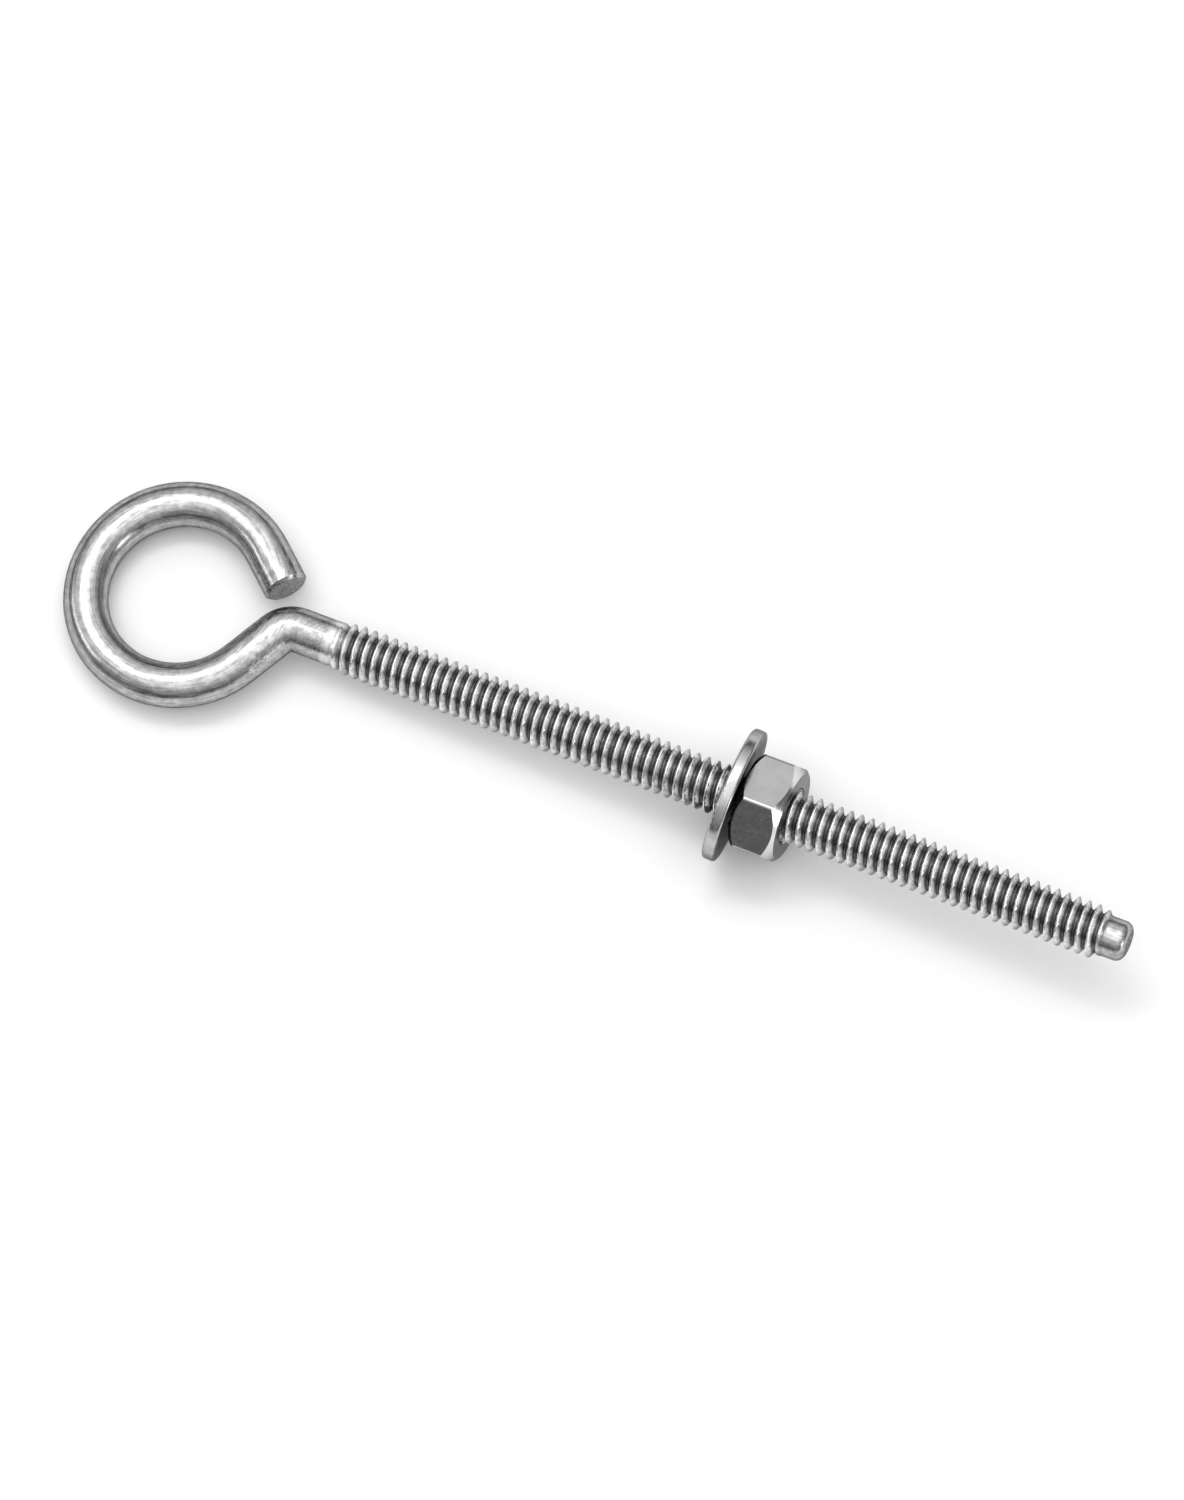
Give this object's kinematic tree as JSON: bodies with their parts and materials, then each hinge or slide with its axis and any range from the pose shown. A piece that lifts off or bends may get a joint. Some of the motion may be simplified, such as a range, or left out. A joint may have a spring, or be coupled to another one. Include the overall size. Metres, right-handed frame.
{
  "type": "eye bolt with nut and washer",
  "caption": "Turned eye bolt bent from round stainless wire, with a long machine-threaded shank, a hex nut and a loose flat washer.",
  "frame": {"origin": "centre of the eye, on the middle plane of the wire", "axes": "+X along the shank, from the eye to the threaded end; +Z square to the plane of the eye, up as the bolt lies on a table; +Y to the side where the eye's free end is"},
  "size_m": [0.1317, 0.0274, 0.0158],
  "materials": {
    "rod_steel": "drawn and rolled stainless steel, polished",
    "washer_steel": "stamped stainless steel, tumbled bright",
    "nut_steel": "cold-formed stainless steel, bright"
  },
  "bodies": {
    "bolt": {"eye_bolt": "rod_steel"},
    "washer": {"flat_washer": "washer_steel"},
    "nut": {"hex_nut": "nut_steel"}
  },
  "joints": [
    {"name": "nut_advance", "type": "slide", "parent": "bolt", "child": "washer", "axis": [1, 0, 0], "range_m": [-0.04907, 0.03754]},
    {"name": "nut_turn", "type": "hinge", "parent": "washer", "child": "nut", "pos_m": [0.07379, 0.001, 0], "axis": [1, 0, 0], "range_deg": [-13920, 10650]}
  ],
  "couplings": [
    {"joint": "nut_turn", "follows": "nut_advance", "rad_per_m": 4947.4}
  ]
}
